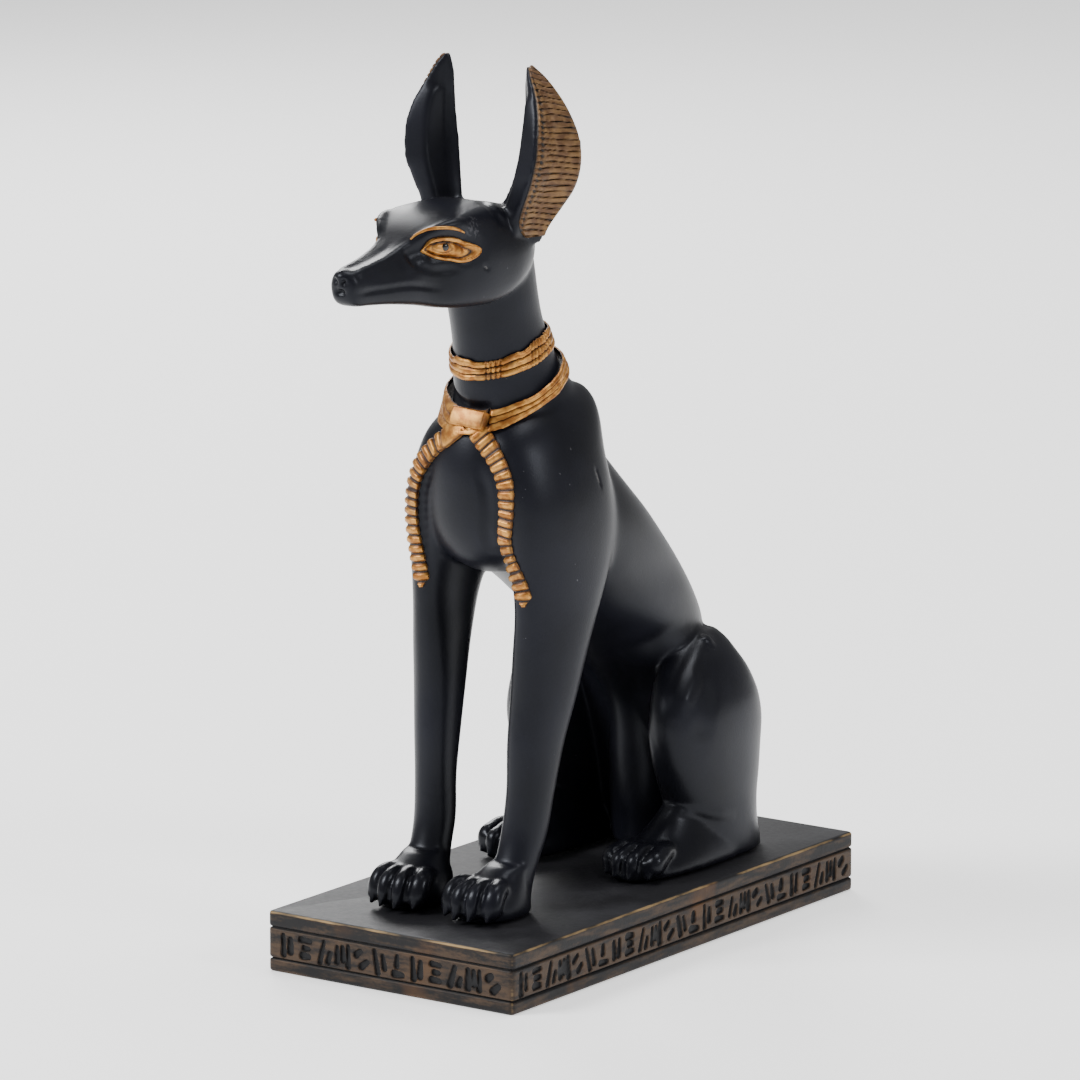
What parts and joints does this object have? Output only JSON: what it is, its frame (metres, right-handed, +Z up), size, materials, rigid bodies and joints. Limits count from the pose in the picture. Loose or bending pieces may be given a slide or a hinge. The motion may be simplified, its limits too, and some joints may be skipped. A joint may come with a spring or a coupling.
{
  "type": "sitting jackal statue",
  "caption": "Cast resin figurine of a slender black jackal sitting upright with a gold collar and tall gold-lined ears, on a long low plinth with a frieze of strokes.",
  "frame": {"origin": "middle of the plinth's underside", "axes": "+Z up, the jackal looks along -Y, +X is the jackal's left side"},
  "size_m": [0.0658, 0.1504, 0.1992],
  "materials": {
    "black_resin": "black painted resin with a soft satin sheen, glossier on the toes, and hand-painted gold on collar, ribbons, eyes and ears",
    "bronze_resin": "resin painted black on top and dry-brushed brown bronze on the sides, with black in the strokes and pale worn edges"
  },
  "bodies": {
    "root": {"jackal": "black_resin", "plinth": "bronze_resin"}
  },
  "joints": []
}
